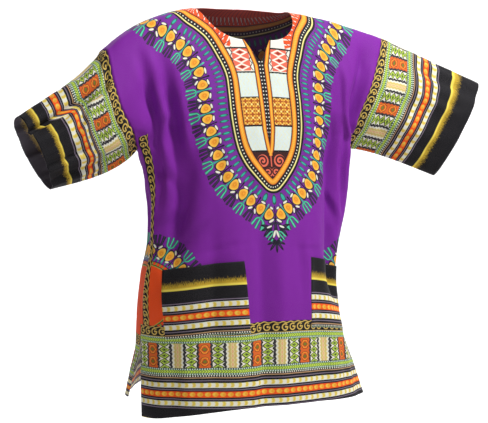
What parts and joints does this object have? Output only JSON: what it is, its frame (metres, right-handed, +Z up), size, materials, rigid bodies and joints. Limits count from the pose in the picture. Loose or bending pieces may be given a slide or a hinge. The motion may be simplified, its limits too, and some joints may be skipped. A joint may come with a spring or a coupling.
{
  "type": "dashiki shirt",
  "caption": "Loose short-sleeved pullover shirt in printed cotton, shown worn: round neck with a front slit, wide sleeves, patch pockets, side vents at the hem.",
  "frame": {"origin": "between the shoulders, level with the neck points of the shoulder seams, in the plane of the shoulder ridge: the place where the wearer holds the shirt up", "axes": "+Z up; +X towards the wearer's left, along the spread sleeves; +Y towards the wearer's back, so the front of the shirt faces -Y"},
  "size_m": [1.0071, 0.2922, 0.7942],
  "materials": {
    "printed_cotton": "plain-weave cotton, printed, slight calendered sheen",
    "border_print_cotton": "plain-weave cotton with a striped border print, slight calendered sheen"
  },
  "bodies": {
    "root": {"front": "printed_cotton", "back": "printed_cotton", "sleeve_right": "border_print_cotton", "sleeve_left": "border_print_cotton", "pocket_right": "border_print_cotton", "pocket_left": "border_print_cotton"}
  },
  "joints": []
}
